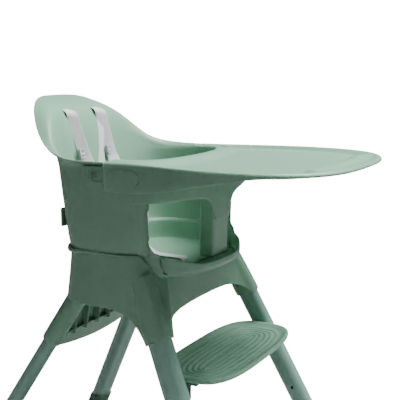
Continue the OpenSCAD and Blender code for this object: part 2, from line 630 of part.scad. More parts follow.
module buckle_body() color([0.62, 0.63, 0.65]) place() translate([0, buckle_y, buckle_z]) difference() {
    union() {
        cube([44, 13, 40], center = true);
        cube([36, 13, 50], center = true);
    }
    translate([0, -6, 0]) rotate([90, 0, 0]) cylinder(d = 22.4, h = 9, center = true, $fn = fine);
    // mouths for the tongues
    for (s = [-1, 1]) translate([s * 11, 3, 20]) cube([14, 4, 14], center = true);
    for (s = [-1, 1]) translate([s * 21, 3, 4]) cube([10, 4, 14], center = true);
    translate([0, 3, -24]) cube([web_w + 2, 4, 10], center = true);
}
module buckle_button() color([0.55, 0.2, 0.18]) place() translate([0, buckle_y - 7.5, buckle_z])
    rotate([90, 0, 0]) cylinder(d = 22.3, h = 6, center = true, $fn = fine);
module buckle_tongues() color([0.5, 0.51, 0.53]) place() translate([0, buckle_y, buckle_z]) for (s = [-1, 1]) {
    translate([s * 11, 3, 21]) cube([12, 3, 11], center = true);
    translate([s * 22, 3, 4]) cube([11, 3, 12], center = true);
}

base_shell();
under_frame();
seat_shell();
armrest_left();
armrest_right();
lock_indicators();
seat_screws();
leg_front_left();
leg_front_right();
leg_rear_left();
leg_rear_right();
foot_caps();
lock_button_front_left();
lock_button_front_right();
lock_button_rear_left();
lock_button_rear_right();
tray_shell();
tray_rail();
tray_screws();
latch_slider_left();
latch_slider_right();
footplate();
footplate_bracket_left();
footplate_bracket_right();
footplate_pin_left();
footplate_pin_right();
shoulder_strap_left();
shoulder_strap_right();
waist_straps();
crotch_strap();
strap_adjusters();
strap_keepers();
buckle_body();
buckle_button();
buckle_tongues();
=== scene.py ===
import bpy, math
import numpy as np
from mathutils import Matrix, Vector


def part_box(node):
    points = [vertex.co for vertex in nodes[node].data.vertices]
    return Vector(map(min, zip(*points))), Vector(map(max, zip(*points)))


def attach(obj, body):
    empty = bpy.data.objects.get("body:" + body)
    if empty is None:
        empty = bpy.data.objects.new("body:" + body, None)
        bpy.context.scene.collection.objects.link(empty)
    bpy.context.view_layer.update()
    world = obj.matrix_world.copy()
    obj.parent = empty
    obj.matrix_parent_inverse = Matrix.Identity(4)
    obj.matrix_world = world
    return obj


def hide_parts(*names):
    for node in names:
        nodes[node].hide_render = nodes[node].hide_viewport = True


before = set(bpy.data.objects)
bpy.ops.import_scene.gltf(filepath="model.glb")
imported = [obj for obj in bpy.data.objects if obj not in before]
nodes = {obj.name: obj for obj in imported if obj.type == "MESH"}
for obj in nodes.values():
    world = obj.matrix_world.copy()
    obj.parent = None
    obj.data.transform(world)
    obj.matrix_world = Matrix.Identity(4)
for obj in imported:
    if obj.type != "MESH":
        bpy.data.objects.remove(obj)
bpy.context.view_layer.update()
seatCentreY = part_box("tray_shell")[0][1] + 0.484   # middle of the seat, along Y
print("frame loaded")

# ---------- small helpers

def smoothStep(x):
    # 3k^2 - 2k^3, with k held between 0 and 1
    k = np.clip(x, 0.0, 1.0)
    return k * k * (3.0 - 2.0 * k)

def mix(a, b, k):
    return a + (b - a) * k

def signedPower(c, n):
    # keeps the sign of c and raises its size to 2/n: the superellipse's coordinate
    return np.sign(c) * np.abs(c) ** (2.0 / n)

def throughPoints(values, w):
    # smooth curve through equally spaced values: cubic Hermite, each slope the harmonic mean of
    # its two neighbours and 0 at a turn, so that it never overshoots
    v = np.asarray(values, float)
    step = np.diff(v, axis=0)
    before, after = step[:-1], step[1:]
    both = np.where(before * after > 0, 2 * before * after / np.where(before + after == 0, 1, before + after), 0)
    slope = np.concatenate([step[:1], both, step[-1:]])
    i = np.clip(np.floor(w).astype(int), 0, len(v) - 2)
    k = w - i
    if v.ndim > 1:
        k = k[..., None]
    h0 = 2 * k**3 - 3 * k**2 + 1
    h1 = k**3 - 2 * k**2 + k
    h2 = -2 * k**3 + 3 * k**2
    h3 = k**3 - k**2
    return h0 * v[i] + h1 * slope[i] + h2 * v[i + 1] + h3 * slope[i + 1]

def resampled(points, count):
    # the polyline's points, spaced evenly along its length
    p = np.asarray(points, float)
    run = np.concatenate([[0], np.cumsum(np.linalg.norm(np.diff(p, axis=0), axis=1))])
    s = np.linspace(0, run[-1], count)
    return np.stack([np.interp(s, run, p[:, j]) for j in range(p.shape[1])], axis=1)

def relaxed(points, rounds, closed=False):
    # each round moves a point a third of the way to the middle of its neighbours
    p = np.array(points, float)
    for _ in range(rounds):
        if closed:
            p = p + (np.roll(p, 1, 0) + np.roll(p, -1, 0) - 2 * p) / 3
        else:
            p[1:-1] = p[1:-1] + (p[2:] + p[:-2] - 2 * p[1:-1]) / 3
    return p

def toFrame(p):
    # millimetres about the seat's middle -> metres in the shared frame
    q = np.asarray(p, float) / 1000.0
    q[..., 1] += seatCentreY
    return q

def gridPiece(name, p, loopU=False, loopV=False, capStart=False, capEnd=False, flip=False):
    # p[u, v] is a point of the surface, and quads join neighbours in u and v
    nu, nv = p.shape[:2]
    ids = np.arange(nu * nv).reshape(nu, nv)
    u0 = np.arange(nu if loopU else nu - 1)
    v0 = np.arange(nv if loopV else nv - 1)
    a, b = np.meshgrid(u0, v0, indexing="ij")
    a1, b1 = (a + 1) % nu, (b + 1) % nv
    quads = np.stack([ids[a, b], ids[a1, b], ids[a1, b1], ids[a, b1]], -1).reshape(-1, 4)
    faces = [tuple(q[::-1] if flip else q) for q in quads.tolist()]
    if capStart:
        edge = ids[:, 0] if loopU else ids[0, :]
        faces.append(tuple((edge if flip else edge[::-1]).tolist()))
    if capEnd:
        edge = ids[:, -1] if loopU else ids[-1, :]
        faces.append(tuple((edge[::-1] if flip else edge).tolist()))
    mesh = bpy.data.meshes.new(name)
    mesh.from_pydata(p.reshape(-1, 3).tolist(), [], faces)
    uvLayer = mesh.uv_layers.new(name="along")
    run = np.concatenate([np.zeros((nu, 1)), np.cumsum(np.linalg.norm(np.diff(p, axis=1), axis=2), 1)], 1)
    across = np.concatenate([np.zeros((1, nv)), np.cumsum(np.linalg.norm(np.diff(p, axis=0), axis=2), 0)], 0)
    loops = np.empty(len(mesh.loops), dtype=np.int32)
    mesh.loops.foreach_get("vertex_index", loops)
    flat = np.stack([across.reshape(-1)[loops], run.reshape(-1)[loops]], 1)
    uvLayer.data.foreach_set("uv", flat.astype(np.float32).reshape(-1))
    mesh.shade_smooth()
    mesh.validate()
    piece = bpy.data.objects.new(name, mesh)
    bpy.context.scene.collection.objects.link(piece)
    return piece

def wallGrid(p, thickness, loopU=False, openStart=False, rows=5):
    # the sheet, a half-round rim, and the sheet again moved back along its normals
    du = (np.roll(p, -1, 0) - np.roll(p, 1, 0)) if loopU else np.gradient(p, axis=0)
    dv = np.gradient(p, axis=1)
    n = np.cross(du, dv)
    n /= np.maximum(np.linalg.norm(n, axis=2, keepdims=True), 1e-9)
    inner = p - n * thickness
    a = np.linspace(math.pi / 2, -math.pi / 2, rows + 2)[1:-1]
    def rim(at, way):
        t = way * dv[:, at]
        t = t / np.maximum(np.linalg.norm(t, axis=1, keepdims=True), 1e-9)
        c = (p[:, at] + inner[:, at]) / 2
        return (c[:, None] + n[:, at][:, None] * (thickness / 2 * np.sin(a))[None, :, None]
                + t[:, None] * (thickness / 2 * np.cos(a))[None, :, None])
    parts = [p, rim(-1, 1.0), inner[:, ::-1]]
    if openStart:
        parts.append(rim(0, -1.0)[:, ::-1])
    return np.concatenate(parts, 1)

def outward(piece):
    # recalculates the normals so that they point out of the closed form
    import bmesh
    bm = bmesh.new()
    bm.from_mesh(piece.data)
    bmesh.ops.remove_doubles(bm, verts=bm.verts, dist=1e-6)
    bmesh.ops.recalc_face_normals(bm, faces=bm.faces)
    bm.to_mesh(piece.data)
    bm.free()
    piece.data.shade_smooth()

def finished(piece, body, material, *replaced, slot=None):
    piece.data.materials.clear()
    piece.data.materials.append(material)
    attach(piece, body)
    if replaced:
        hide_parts(*replaced)
    return piece

# ---------- effects that the materials share

def newGroup(name, inputs, outputs):
    g = bpy.data.node_groups.new(name, "ShaderNodeTree")
    for n, kind, value in inputs:
        s = g.interface.new_socket(n, in_out="INPUT", socket_type=kind)
        s.default_value = value
    for n, kind in outputs:
        g.interface.new_socket(n, in_out="OUTPUT", socket_type=kind)
    return g, g.nodes.new("NodeGroupInput"), g.nodes.new("NodeGroupOutput")

def link(tree, a, b):
    tree.links.new(a, b)

def makeGrain():
    # fine moulding grain: two sizes of noise on object coordinates
    g, gi, go = newGroup("mouldGrain", [("Scale", "NodeSocketFloat", 900.0), ("Depth", "NodeSocketFloat", 0.1)],
                         [("Normal", "NodeSocketVector"), ("Speck", "NodeSocketFloat")])
    at = g.nodes.new("ShaderNodeTexCoord")
    fine = g.nodes.new("ShaderNodeTexNoise")
    fine.inputs["Detail"].default_value = 3
    link(g, at.outputs["Object"], fine.inputs["Vector"])
    link(g, gi.outputs["Scale"], fine.inputs["Scale"])
    wide = g.nodes.new("ShaderNodeTexNoise")
    wide.inputs["Scale"].default_value = 18
    wide.inputs["Detail"].default_value = 2
    link(g, at.outputs["Object"], wide.inputs["Vector"])
    bump = g.nodes.new("ShaderNodeBump")
    bump.inputs["Distance"].default_value = 0.0004
    link(g, gi.outputs["Depth"], bump.inputs["Strength"])
    link(g, fine.outputs["Fac"], bump.inputs["Height"])
    link(g, bump.outputs["Normal"], go.inputs["Normal"])
    link(g, wide.outputs["Fac"], go.inputs["Speck"])
    return g

def makeTint():
    # base colour moved a little by a slow noise, and paler where the mask says
    g, gi, go = newGroup("slowTint", [("Color", "NodeSocketColor", (0.5, 0.5, 0.5, 1)),
                                      ("Mask", "NodeSocketFloat", 0.5), ("Amount", "NodeSocketFloat", 0.06)],
                         [("Color", "NodeSocketColor")])
    hsv = g.nodes.new("ShaderNodeHueSaturation")
    m = g.nodes.new("ShaderNodeMath"); m.operation = "SUBTRACT"; m.inputs[1].default_value = 0.5
    k = g.nodes.new("ShaderNodeMath"); k.operation = "MULTIPLY"
    one = g.nodes.new("ShaderNodeMath"); one.operation = "ADD"; one.inputs[1].default_value = 1.0
    link(g, gi.outputs["Mask"], m.inputs[0]); link(g, m.outputs[0], k.inputs[0])
    link(g, gi.outputs["Amount"], k.inputs[1]); link(g, k.outputs[0], one.inputs[0])
    link(g, one.outputs[0], hsv.inputs["Value"]); link(g, gi.outputs["Color"], hsv.inputs["Color"])
    link(g, hsv.outputs["Color"], go.inputs["Color"])
    return g

grainGroup, tintGroup = makeGrain(), makeTint()

def linear(c):
    # sRGB 0..255 -> linear
    c = np.asarray(c, float) / 255
    return tuple(np.where(c <= 0.04045, c / 12.92, ((c + 0.055) / 1.055) ** 2.4)) + (1.0,)

def solidMaterial(name, color, roughness, grainScale=900, grainDepth=0.12, metallic=0.0, coat=0.0,
                  tint=0.08, roughVary=0.1, sheen=0.0, specular=0.5):
    m = bpy.data.materials.new(name)
    m.use_nodes = True
    t = m.node_tree
    b = t.nodes["Principled BSDF"]
    b.inputs["Metallic"].default_value = metallic
    b.inputs["Coat Weight"].default_value = coat
    b.inputs["Sheen Weight"].default_value = sheen
    b.inputs["Specular IOR Level"].default_value = specular
    grain = t.nodes.new("ShaderNodeGroup"); grain.node_tree = grainGroup
    grain.inputs["Scale"].default_value = grainScale
    grain.inputs["Depth"].default_value = grainDepth
    tinted = t.nodes.new("ShaderNodeGroup"); tinted.node_tree = tintGroup
    tinted.inputs["Color"].default_value = color
    tinted.inputs["Amount"].default_value = tint
    link(t, grain.outputs["Speck"], tinted.inputs["Mask"])
    link(t, tinted.outputs["Color"], b.inputs["Base Color"])
    rough = t.nodes.new("ShaderNodeMapRange")
    rough.inputs["To Min"].default_value = roughness - roughVary / 2
    rough.inputs["To Max"].default_value = roughness + roughVary / 2
    link(t, grain.outputs["Speck"], rough.inputs["Value"])
    link(t, rough.outputs["Result"], b.inputs["Roughness"])
    link(t, grain.outputs["Normal"], b.inputs["Normal"])
    return m

def webbingMaterial(name, color):
    # ribs across the strap and threads along it, from the strap's own map in metres
    m = bpy.data.materials.new(name)
    m.use_nodes = True
    t = m.node_tree
    b = t.nodes["Principled BSDF"]
    b.inputs["Roughness"].default_value = 0.85
    b.inputs["Sheen Weight"].default_value = 0.3
    uv = t.nodes.new("ShaderNodeUVMap"); uv.uv_map = "along"
    ribs = t.nodes.new("ShaderNodeTexWave"); ribs.bands_direction = "Y"
    ribs.inputs["Scale"].default_value = 190
    threads = t.nodes.new("ShaderNodeTexWave"); threads.bands_direction = "X"
    threads.inputs["Scale"].default_value = 260
    for w in (ribs, threads):
        w.inputs["Distortion"].default_value = 0.6
        link(t, uv.outputs["UV"], w.inputs["Vector"])
    both = t.nodes.new("ShaderNodeMath"); both.operation = "MULTIPLY"
    link(t, ribs.outputs["Fac"], both.inputs[0]); link(t, threads.outputs["Fac"], both.inputs[1])
    tone = t.nodes.new("ShaderNodeMix"); tone.data_type = "RGBA"
    dark = tuple(c * 0.72 for c in color[:3]) + (1,)
    tone.inputs[6].default_value = dark; tone.inputs[7].default_value = color
    link(t, both.outputs[0], tone.inputs[0]); link(t, tone.outputs[2], b.inputs["Base Color"])
    bump = t.nodes.new("ShaderNodeBump")
    bump.inputs["Strength"].default_value = 0.5; bump.inputs["Distance"].default_value = 0.0004
    link(t, both.outputs[0], bump.inputs["Height"]); link(t, bump.outputs["Normal"], b.inputs["Normal"])
    return m

# name, sRGB colour, roughness, grain scale and depth
mouldedGreen = solidMaterial("mouldedGreen", linear((122, 165, 140)), 0.42, 1100, 0.10, coat=0.05)
# the footplate's green is painted a little lighter than the moulded green, painted light standing in for the light
# that the tray's shade keeps off it; its rougher, deeper grain is its own
grippyLitGreen = solidMaterial("grippyLitGreen", linear((128, 172, 148)), 0.6, 700, 0.3)
darkGreen = solidMaterial("darkGreen", linear((96, 132, 112)), 0.45, 1100, 0.10)
legPaint = solidMaterial("legPaint", linear((132, 174, 160)), 0.34, 1500, 0.05, coat=0.2)
footRubber = solidMaterial("footRubber", linear((84, 116, 100)), 0.75, 500, 0.3)
zincSteel = solidMaterial("zincSteel", (0.62, 0.63, 0.64, 1), 0.32, 1800, 0.05, metallic=1.0)
# painted shade: the dark of the crotch strap's slot and of the strap's shadow, laid on the pan as a colour
slotShade = solidMaterial("slotShade", linear((38, 50, 44)), 0.8, 600, 0.1)
webbing = webbingMaterial("webbing", linear((236, 235, 240)))
buckleGrey = solidMaterial("buckleGrey", linear((176, 176, 182)), 0.38, 1300, 0.08)
releaseRed = solidMaterial("releaseRed", linear((150, 86, 78)), 0.38, 1300, 0.08)
print("materials made")

# ---------- seat shell
seat = {"wall": 0.004, "centreY": -20.0, "frontN": 2.3, "lip": 516.0, "openingY": 104.0, "corner": 48.0,
        # side height, back height, half width, back reach, front reach, squareness
        "levels": [(500, 500, 186, 106, 176, 3.0), (502, 502, 190, 111, 182, 3.2), (512, 512, 192, 114, 187, 3.2),
                   (544, 544, 193, 116, 187, 3.2), (549, 549, 199, 125, 187, 3.2), (637, 637, 203, 141, 187, 3.2),
                   (717, 723, 205, 154, 187, 3.2), (721, 778, 207, 167, 187, 3.0), (724, 814, 211, 185, 187, 2.7),
                   (726, 833, 216, 217, 187, 2.3), (727, 843, 221, 250, 187, 2.1)]}

def seatPoint(t, w):
    # superellipse whose half width, reaches and squareness follow the level w; the height goes
    # from the side's to the back's with smoothStep(sin^2.1) of the angle t behind the middle
    side, back, half, rear, front, n = throughPoints(seat["levels"], w).T if np.ndim(w) == 1 else \
        np.moveaxis(throughPoints(seat["levels"], w), -1, 0)
    s, c = np.sin(t), np.cos(t)
    ahead = s < 0
    nn = np.where(ahead, seat["frontN"], n)
    behindness = np.where(ahead, 0, smoothStep(np.clip(s, 0, 1) ** 2.1))
    flare = smoothStep((s + 0.16) / 0.5)
    half = np.where(w > 6, mix(205 + (half - 205) * 0.1, half, flare), half)
    x = half * signedPower(c, nn)
    reach = np.where(ahead, front + seat["centreY"], rear - seat["centreY"])
    y = seat["centreY"] + reach * signedPower(s, nn)
    return np.stack([x, y, mix(side, back, behindness)], -1)

def seatAngleAt(y):
    # angle ahead of the middle at which the plan reaches y
    k = (seat["centreY"] - y) / 167.0
    return -np.arcsin(np.clip(k, 0, 1) ** (seat["frontN"] / 2))

def levelAtHeight(z):
    zs = np.array([l[0] for l in seat["levels"]], float)
    w = np.linspace(0, 10, 1001)
    return np.interp(z, throughPoints(zs, w), w)

def makeSeat():
    # edge from the front lip's middle, round the window's corner, up the arm's front and back
    # round the rim; columns run from the pan's edge to it
    lip, oy, r = seat["lip"], seat["openingY"], seat["corner"]
    tl = np.linspace(-math.pi / 2, seatAngleAt(-(oy + r)), 60)
    yl = seat["centreY"] + 167 * signedPower(np.sin(tl), seat["frontN"])
    zl = np.interp(-yl, [oy + r, 175, 247], [lip + 16, lip + 3, lip])
    ang = np.linspace(math.pi / 2, 0, 24)[1:]
    yc, zc = -(oy + r - r * np.cos(ang)), lip + 16 + r - r * np.sin(ang)
    zv = np.linspace(lip + 16 + r, 716, 26)[1:]
    edge = [np.stack([tl, levelAtHeight(zl)], 1),
            np.stack([seatAngleAt(yc), levelAtHeight(zc)], 1),
            np.stack([np.full(25, seatAngleAt(-oy)), levelAtHeight(zv)], 1),
            np.stack([mix(seatAngleAt(-oy), seatAngleAt(-oy) + 0.10, smoothStep(np.linspace(0, 1, 9)[1:])),
                      mix(levelAtHeight(716), 10, np.linspace(0, 1, 9)[1:] ** 0.6)], 1),
            np.stack([np.linspace(seatAngleAt(-oy) + 0.10, math.pi / 2, 110)[1:], np.full(109, 10.0)], 1)]
    edge = np.concatenate(edge)
    xyz = seatPoint(edge[:, 0], edge[:, 1])
    run = np.concatenate([[0], np.cumsum(np.linalg.norm(np.diff(xyz, axis=0), axis=1))])
    count = 190
    s = np.linspace(0, run[-1], count)
    tE, wE = np.interp(s, run, edge[:, 0]), np.interp(s, run, edge[:, 1])
    pad = 34
    ext = np.concatenate([-math.pi - tE[pad:0:-1], tE, math.pi - tE[-2:-pad - 2:-1]])
    tB = np.convolve(ext, np.ones(2 * pad + 1) / (2 * pad + 1), "valid")
    tB[0], tB[-1] = -math.pi / 2, math.pi / 2
    v = np.concatenate([np.linspace(0, 0.16, 12), np.linspace(0.16, 1, 62)[1:]])
    angles = tB[:, None] + (tE - tB)[:, None] * smoothStep(v)[None, :]
    heights = wE[:, None] * v[None, :]
    half = seatPoint(angles, heights)
    other = half[::-1].copy()
    other[..., 0] *= -1
    ring = np.concatenate([half, other[1:-1]])
    # the pan: the first ring drawn in towards its middle, a shallow dish
    k = np.array([0.03, 0.15, 0.35, 0.55, 0.72, 0.85, 0.93, 0.975])
    middle = np.array([0, -30.0, 500.0])
    pan = middle + (ring[:, :1, :] - middle) * k[None, :, None]
    pan[..., 2] = 500 - 2.0 * (1 - k[None, :] ** 2)
    sheet = np.concatenate([pan, ring], axis=1)
    return gridPiece("seatShell", wallGrid(toFrame(sheet), seat["wall"], loopU=True),
                     loopU=True, capStart=True, capEnd=True)

seatShell = makeSeat()
finished(seatShell, "chair", mouldedGreen, "seat_shell", slot="shell")
print("seat made")

# ---------- tray
tray = {"half": 250.0, "front": 484.0, "top": 732.0, "wall": 0.003, "reach": 22.0, "cutHalf": 162.0}

def trayOut(t):
    # straight-ish arm that widens to the side, then a quarter superellipse round the front
    k = np.clip(t / 0.3, 0, 1)
    a = np.clip((t - 0.3) / 0.7, 0, 1) * math.pi / 2
    x = np.where(t < 0.3, mix(212, tray["half"], smoothStep(k * 0.94)), tray["half"] * signedPower(np.cos(a), 2.9))
    y = np.where(t < 0.3, mix(-tray["reach"], -252, k), -252 - (tray["front"] - 252) * signedPower(np.sin(a), 2.9))
    return np.stack([x, y], -1)

def trayIn(t):
    # straight arm, then a quarter superellipse round the belly
    k = np.clip(t / 0.08, 0, 1)
    a = np.clip((t - 0.08) / 0.92, 0, 1) * math.pi / 2
    x = np.where(t < 0.08, tray["cutHalf"], tray["cutHalf"] * signedPower(np.cos(a), 2.4))
    y = np.where(t < 0.08, mix(-tray["reach"], -42, k), -42 - 73 * signedPower(np.sin(a), 2.4))
    return np.stack([x, y], -1)

def trayHeight(xy, dIn, dOut):
    # crown, a basin between two slopes, and a crescent gutter ahead of the basin's front ridge
    ahead = smoothStep((-xy[..., 1] - 330) / 90) * smoothStep((178 - np.abs(xy[..., 0])) / 50)
    start = mix(9, 52, ahead)
    basin = 10 * smoothStep((dIn - 16) / 40) * smoothStep((dOut - start) / 26)
    gutter = 4.5 * ahead * smoothStep((dOut - 8) / 14) * smoothStep((start - 2 - dOut) / 16)
    return tray["top"] - basin - gutter

def makeTray():
    t = np.linspace(0, 1, 130)
    o, i = trayOut(t), trayIn(t)
    w = np.linalg.norm(o - i, axis=1)
    d = (o - i) / w[:, None]
    low = mix(tray["top"] - 57, tray["top"] - 8, smoothStep((-o[:, 1] - 60) / 340))
    k = np.linspace(0, 1, 60)
    k = mix(k, smoothStep(k), 0.5)
    dist = 6 + k[None, :] * (w[:, None] - 14)
    xy = i[:, None, :] + d[:, None, :] * dist[..., None]
    top = trayHeight(xy, dist, w[:, None] - dist)
    mid = np.concatenate([xy, top[..., None]], -1)
    # rolled inner edge: quarter round of 6, then down to 20 below the crown
    a = np.linspace(0, math.pi / 2, 6)[:-1]
    inD = 6 - 6 * np.cos(a)
    inZ = -6 + 6 * np.sin(a)
    inD = np.concatenate([[0, 0, 0], inD]); inZ = np.concatenate([[-20, -14, -9], inZ])
    inner = np.concatenate([i[:, None, :] + d[:, None, :] * inD[None, :, None],
                            (tray["top"] + inZ)[None, :, None] + np.zeros((len(t), len(inD), 1))], -1)
    # outer edge rolls over 8 and falls, leaning in a little, to the skirt's lower edge
    a = np.linspace(0, math.pi / 2, 7)[1:]
    outD = w[:, None] - 8 + 8 * np.sin(a)[None, :]
    outZ = top[:, -1:] - 6 + 6 * np.cos(a)[None, :]
    fall = np.linspace(0, 1, 7)[1:]
    outD = np.concatenate([outD, w[:, None] - 1.5 * fall[None, :]], 1)
    outZ = np.concatenate([outZ, mix(outZ[:, -1:], low[:, None], fall[None, :])], 1)
    outer = np.concatenate([i[:, None, :] + d[:, None, :] * outD[..., None], outZ[..., None]], -1)
    half = np.concatenate([inner, mid, outer], 1)
    other = half[::-1].copy()
    other[..., 0] *= -1
    sheet = np.concatenate([half, other[1:]])
    return gridPiece("trayShell", wallGrid(toFrame(sheet), tray["wall"], openStart=True),
                     loopV=True, capStart=True, capEnd=True)

trayShell = makeTray()
finished(trayShell, "tray", mouldedGreen, "tray_shell", slot="shell")
print("tray made")

# ---------- bow and post under the tray
bow = {"half": 210.0, "top": 711.0, "y": -89.0, "reach": 83.0, "wall": 4.0,
       "postWidth": 68.0, "postDepth": 34.0, "postY": -154.0}

def bowPlan(a, out):
    return np.stack([(bow["half"] + out) * signedPower(np.cos(a), 2.3),
                     bow["y"] - (bow["reach"] + out) * signedPower(np.sin(a), 2.3)], -1)

def makeBow():
    # wall along a half superellipse; its lower edge dips to meet the post's sides
    a = np.linspace(0, math.pi, 321)
    o, n = bowPlan(a, bow["wall"]), bowPlan(a, 0)
    low = np.interp(np.abs(o[:, 0]), [0, 32, 36, 41, 48, 58, 72, 85, 105, 125, 141, 200],
                    [600, 600, 612, 626, 638, 645, 649.5, 652, 654, 656, 656, 655])
    low = relaxed(low[:, None], 3)[:, 0]
    section = []
    for plan, up in ((n, 0), (n, 6), (n, None), (o, None), (o, 6), (o, 0)):
        z = np.full(len(a), bow["top"]) if up is None else low + up
        section.append(np.concatenate([plan, z[:, None]], 1))
    p = np.stack(section, 1)
    piece = gridPiece("trayBow", toFrame(p), loopV=True, capStart=True, capEnd=True)
    outward(piece)
    b = piece.modifiers.new("edge", "BEVEL")
    b.width, b.segments, b.limit_method, b.angle_limit = 0.0014, 3, "ANGLE", 0.7
    return piece

def makePost():
    # rounded-rectangle rings from the sill to the bow, leaning back towards the top
    k = np.linspace(0, 1, 26)
    a = np.linspace(0, 2 * math.pi, 72, endpoint=False)
    half = mix(bow["postWidth"] / 2, bow["postWidth"] / 2 + 3, k)[:, None]
    deep = mix(bow["postDepth"] / 2, bow["postDepth"] / 2 + 1, k)[:, None]
    x = half * signedPower(np.cos(a), 9)[None, :]
    y = mix(bow["postY"], bow["postY"] - 3, smoothStep(k))[:, None] + deep * signedPower(np.sin(a), 7)[None, :]
    z = mix(522, 668, k)[:, None] + 0 * x
    p = np.moveaxis(np.stack([x, y, z], -1), 0, 1)
    ring = p[:, :1]
    c = ring.mean(0, keepdims=True)
    foot = c + (ring - c) * 0.9
    foot[..., 2] = 521.5
    p = np.concatenate([foot, p], 1)
    piece = gridPiece("trayPost", toFrame(p), loopU=True, capStart=True, capEnd=True)
    outward(piece)
    return piece

trayBow, trayPost = makeBow(), makePost()
finished(trayBow, "tray", mouldedGreen, "tray_rail", slot="shell")
finished(trayPost, "tray", mouldedGreen, "tray_rail", slot="shell")
print("bow made")

# ---------- legs' directions, for the sockets
legs = {"front": {"foot": (273, -324), "ref": (202, -136), "turn": 78, "mouth": 388, "top": 503, "grow": (4.6, 1.0)},
        "rear": {"foot": (259, 332), "ref": (156, 110), "turn": 152, "mouth": 337, "top": 462, "grow": (5, 5)}}

def legFrame(which):
    g = legs[which]
    foot, ref = np.array([*g["foot"], 0.0]), np.array([*g["ref"], 400.0])
    d = (ref - foot) / np.linalg.norm(ref - foot)
    tilt, az, turn = math.acos(d[2]), math.atan2(d[1], d[0]), math.radians(g["turn"])
    m = Matrix.Rotation(az, 3, "Z") @ Matrix.Rotation(tilt, 3, "Y") @ Matrix.Rotation(-az + turn, 3, "Z")
    m = np.array(m)
    return foot, d, m[:, 0], m[:, 1]

def ovalRing(which, z, grow, count=64, start=0.0):
    # flat oval across the leg at height z on its centre line
    foot, d, e1, e2 = legFrame(which)
    c = foot + d * (z / d[2])
    a = start + np.linspace(0, 2 * math.pi, count, endpoint=False)
    r = 16 + grow
    u = r * np.cos(a) + 9 * np.clip(np.cos(a) * 6, -1, 1)
    v = r * np.sin(a)
    return c + u[:, None] * e1 + v[:, None] * e2, a

# ---------- chassis
base = {"wall": 0.004, "collar": 548.0, "hem": 441.0, "socketWall": 5.0, "apronTop": 446.0}

def collarRing(count):
    # the collar's plan is a square superellipse; its front drops under the seat's lip
    a = np.linspace(-math.pi / 2, math.pi / 2, 4001)
    behind = np.sin(a) > 0
    y0, n = np.where(behind, 141.5, 105), np.where(behind, 3.2, 4)
    x = 201 * signedPower(np.cos(a), n)
    y = -20 + y0 * signedPower(np.sin(a), n)
    p = resampled(np.stack([x, y], 1), count)
    z = mix(base["collar"], 504, smoothStep((-p[:, 1] - 86) / 36))
    return np.concatenate([p, z[:, None]], 1)

def hemLine(count):
    # lower edge of the moulding, from the front's middle to the back's, dipping round each socket
    def arc(which, a0, a1, n):
        ring, _ = ovalRing(which, legs[which]["mouth"], base["socketWall"], 720)
        i = (np.linspace(a0, a1, n) * 2).astype(int) % 720
        return ring[i]
    # angles in degrees from the oval's long side; the front one's long side points back
    front = arc("front", 140, 345, 46)
    a = [(0, -131, 430), (60, -131, 430), (118, -132, 430), (150, -135, 427), (166, -142, 417), (175, -150, 402)]
    b = [(214, -103, 405), (212, -90, 421), (211, -74, 433), (210.5, -52, 439)]
    t = np.linspace(-0.03, math.pi / 2, 60)
    c = np.stack([210 * signedPower(np.cos(t), 3.2), -20 + 152 * signedPower(np.sin(t), 3.2),
                  np.full(60, base["hem"])], 1)
    return resampled(relaxed(np.concatenate([a, front, b, c]), 2), count)

def makeBase():
    # two-rail surface from the collar to the hem: it leaves the collar upright and reaches the hem
    # along the legs' direction; u follows the rails, v goes down
    count = 240
    top = collarRing(count)
    hem = hemLine(count)
    # match the rails by direction seen from above, so that columns stay upright
    def bearing(p):
        return np.unwrap(np.arctan2(p[:, 1] + 10, p[:, 0]))
    bt, bh = bearing(top), np.maximum.accumulate(bearing(hem))
    bh = bh + np.linspace(0, 1e-6, count)
    target = mix(bt[0], bt[-1], (bh - bh[0]) / (bh[-1] - bh[0]))
    target = relaxed(target[:, None], 40)[:, 0]
    top = np.stack([np.interp(target, bt, top[:, j]) for j in range(3)], 1)
    v = np.linspace(0, 1, 48)
    z = mix(top[:, 2:3], hem[:, 2:3], v[None, :])
    lean = np.where(top[:, 1] < 0, 0.82, 1.3)[:, None]
    lean = relaxed(lean, 60)
    k = v[None, :] ** lean
    x = mix(top[:, 0:1], hem[:, 0:1], k)
    y = mix(top[:, 1:2], hem[:, 1:2], k)
    half = np.stack([x, y, z], -1)
    other = half[::-1].copy()
    other[..., 0] *= -1
    sheet = np.concatenate([half, other[1:-1]])
    return gridPiece("chassisSkirt", wallGrid(toFrame(sheet[:, ::-1]), base["wall"], loopU=True, openStart=True),
                     loopU=True, loopV=True)

chassisSkirt = makeBase()
finished(chassisSkirt, "chair", mouldedGreen, "base_shell", slot="shell")

def makeSocket(which, side):
    # oval tube round the leg's upper end, with a rounded mouth
    g = legs[which]
    # height and how far outside the leg: the bore, the rounded mouth, then the outer face
    low = g["mouth"]
    rows = [(low + 14, 0.5), (low + 1, 0.5), (low, 2.5), (low + 1, 5), (low + 8, 5),
            (low + 45, g["grow"][0]), (g["top"], g["grow"][1])]
    rings = [ovalRing(which, z, grow, 64)[0] for z, grow in rows]
    p = np.stack(rings, 1)
    p[..., 0] *= side
    piece = gridPiece(f"{which}Socket{'Left' if side > 0 else 'Right'}", toFrame(p), loopU=True)
    outward(piece)
    w = piece.modifiers.new("soft", "SUBSURF"); w.levels = w.render_levels = 1
    return piece

for which in legs:
    for side in (1, -1):
        finished(makeSocket(which, side), "chair", mouldedGreen, "base_shell", slot="shell")

